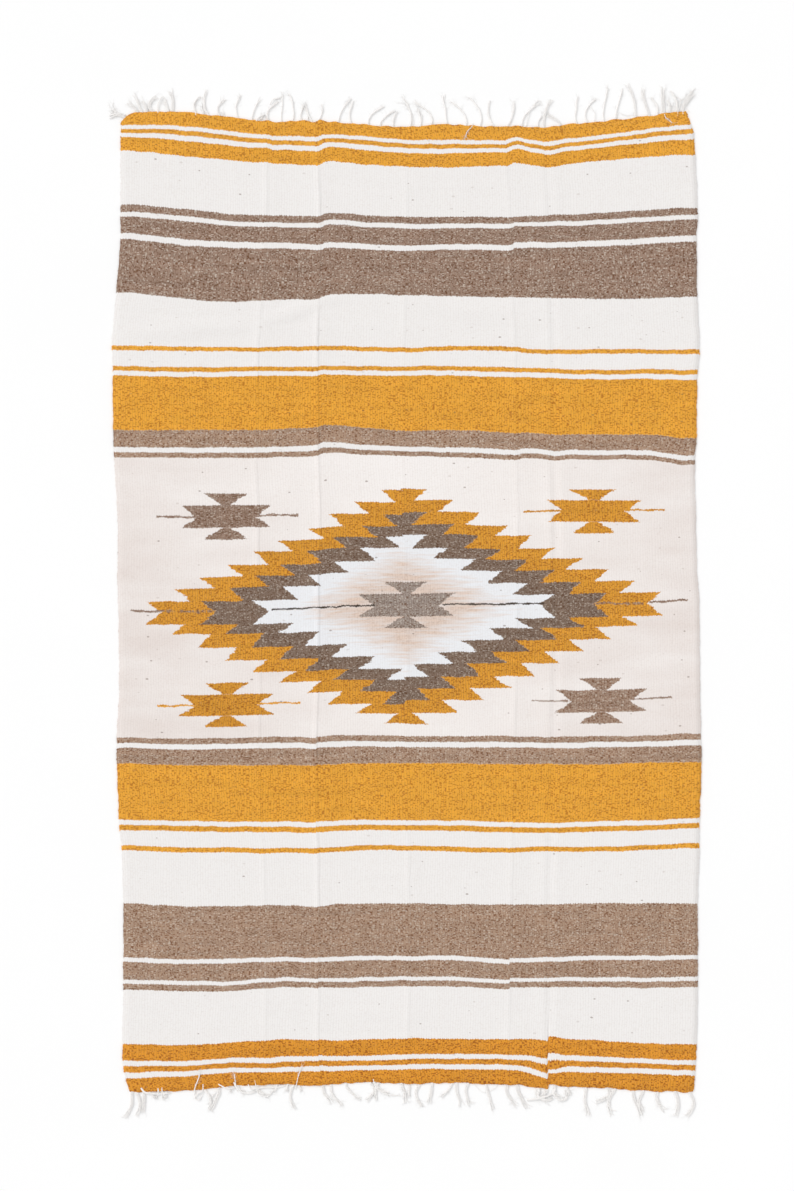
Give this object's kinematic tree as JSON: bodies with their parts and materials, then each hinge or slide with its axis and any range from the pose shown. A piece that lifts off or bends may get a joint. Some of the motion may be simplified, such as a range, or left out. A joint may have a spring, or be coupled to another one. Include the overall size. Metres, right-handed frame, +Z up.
{
  "type": "blanket",
  "caption": "Flat rectangular handwoven blanket with striped ends, a stepped diamond at its middle and a fringe of warp ends at head and foot.",
  "frame": {"origin": "under the middle of the whole blanket, on the surface that it lies on", "axes": "+X across the blanket, +Y along it towards the head end (the top of the picture), +Z up from the surface"},
  "size_m": [1.2172, 2.1516, 0.0107],
  "materials": {
    "woven_wool": "matt weft-faced wool and acrylic weave with fine ribs, in off-white, ochre yellow and grey-brown stripes",
    "cotton_warp": "matt off-white twisted cotton warp"
  },
  "bodies": {
    "root": {"woven_cloth": "woven_wool", "head_fringe": "cotton_warp", "foot_fringe": "cotton_warp"}
  },
  "joints": []
}
